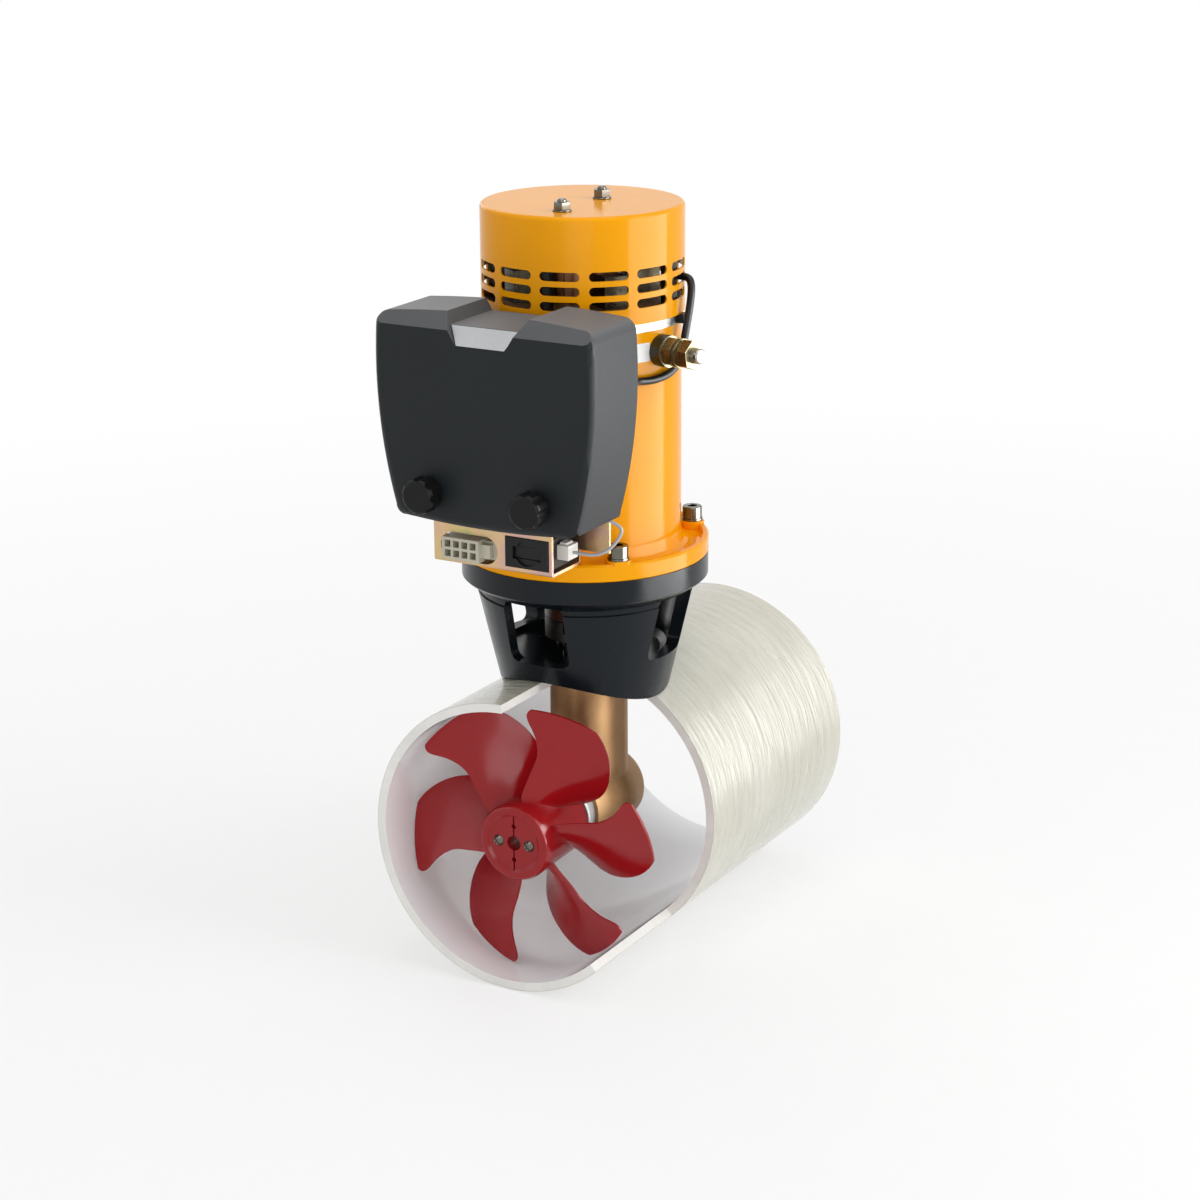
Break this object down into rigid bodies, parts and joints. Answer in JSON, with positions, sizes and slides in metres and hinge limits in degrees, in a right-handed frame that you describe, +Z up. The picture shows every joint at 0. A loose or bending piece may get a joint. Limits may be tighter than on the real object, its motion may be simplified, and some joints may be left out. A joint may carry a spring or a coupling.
{
  "type": "bow thruster",
  "caption": "Electric tunnel bow thruster: a motor on a saddle flange drives a propeller through a bevel-gear leg, inside a tunnel section with a cut-away window.",
  "frame": {"origin": "where the vertical axis of the motor and leg crosses the tunnel's axis", "axes": "+Z up the motor shaft, +Y along the tunnel away from the propeller, +X to the side of the motor terminal"},
  "size_m": [0.197, 0.3361, 0.5119],
  "materials": {
    "motor_paint": "gloss yellow-orange enamel",
    "flange_paint": "gloss navy-black paint",
    "bronze": "satin machined bronze",
    "red_resin": "gloss red resin",
    "tunnel_laminate": "glossy cream glass-fibre laminate",
    "charcoal_plastic": "matt charcoal moulding",
    "black_plastic": "satin black moulding",
    "seal_rubber": "black rubber",
    "zinc": "cast zinc, dull",
    "plug_steel": "turned",
    "bearing_steel": "ground bearing steel",
    "hardened_steel": "ground and oiled",
    "stainless": "bright stainless steel",
    "soft_iron": "laminated iron",
    "copper": "copper",
    "cast_aluminium": "as cast and machined",
    "coupling_brown": "dark red-brown resin",
    "carbon": "carbon graphite",
    "ring_laminate": "brown paper laminate",
    "zinc_passivate": "yellow passivated zinc plate",
    "nylon": "natural nylon",
    "badge_silver": "satin silver",
    "grey_lead": "grey insulation"
  },
  "bodies": {
    "drive_unit": {"tunnel": "tunnel_laminate", "saddle_seal": "seal_rubber", "intermediate_flange": "flange_paint", "tail_piece": "bronze", "case_plug": "bronze", "bearing_carrier": "plug_steel", "clamp_bolts": "stainless", "anode": "zinc", "shaft_seals": "seal_rubber", "leg_bearing_outer_rings": "bearing_steel", "case_bearing_outer_rings": "bearing_steel", "motor_bearing_outer_rings": "bearing_steel", "bearing_balls": "bearing_steel", "motor_base": "motor_paint", "flange_screws": "stainless", "yoke": "motor_paint", "pole_shoes": "soft_iron", "field_coils": "copper", "end_shield": "cast_aluminium", "brush_ring": "ring_laminate", "brush_holders": "plug_steel", "brushes": "carbon", "brush_springs": "plug_steel", "motor_cap": "motor_paint", "cap_studs": "stainless", "cap_nuts": "stainless", "terminal_stud": "stainless", "terminal_insulator": "black_plastic", "terminal_nuts": "stainless", "control_bracket": "zinc_passivate", "bracket_screws": "stainless", "connector": "nylon", "fuse_holder": "black_plastic", "lead_plug": "nylon", "relays": "black_plastic", "bus_bars": "copper", "cover_studs": "stainless", "heat_lead": "black_plastic", "control_lead": "grey_lead", "lead_clip": "black_plastic"},
    "rotor": {"motor_shaft": "hardened_steel", "armature_core": "soft_iron", "armature_windings": "copper", "commutator": "copper", "coupling_upper": "coupling_brown", "coupling_spider": "seal_rubber", "coupling_lower": "cast_aluminium", "drive_shaft": "hardened_steel", "bevel_pinion": "hardened_steel", "drive_bearing_inner_rings": "bearing_steel"},
    "propeller": {"propeller": "red_resin", "propeller_shaft": "stainless", "crown_wheel": "hardened_steel", "propeller_screws": "stainless", "case_bearing_inner_rings": "bearing_steel"},
    "cover": {"cover": "charcoal_plastic", "badge": "badge_silver"},
    "knob_left": {"knob_left": "black_plastic"},
    "knob_right": {"knob_right": "black_plastic"},
    "fuse": {"fuse": "black_plastic"}
  },
  "joints": [
    {"name": "rotor_spin", "type": "hinge", "parent": "drive_unit", "child": "rotor", "pos_m": [0, 0, 0.25], "axis": [0, 0, 1], "continuous": true},
    {"name": "propeller_spin", "type": "hinge", "parent": "drive_unit", "child": "propeller", "pos_m": [0, -0.07, 0], "axis": [0, 1, 0], "continuous": true},
    {"name": "cover_pull", "type": "slide", "parent": "drive_unit", "child": "cover", "axis": [0, -1, 0], "range_m": [0, 0.06]},
    {"name": "knob_left_turn", "type": "hinge", "parent": "cover", "child": "knob_left", "pos_m": [-0.0385, -0.134, 0.2388], "axis": [0, 1, 0], "continuous": true},
    {"name": "knob_right_turn", "type": "hinge", "parent": "cover", "child": "knob_right", "pos_m": [0.0385, -0.134, 0.2388], "axis": [0, 1, 0], "continuous": true},
    {"name": "fuse_pull", "type": "slide", "parent": "drive_unit", "child": "fuse", "axis": [0, -1, 0], "range_m": [0, 0.012]}
  ],
  "couplings": [
    {"joint": "propeller_spin", "follows": "rotor_spin", "ratio": -0.61905}
  ]
}
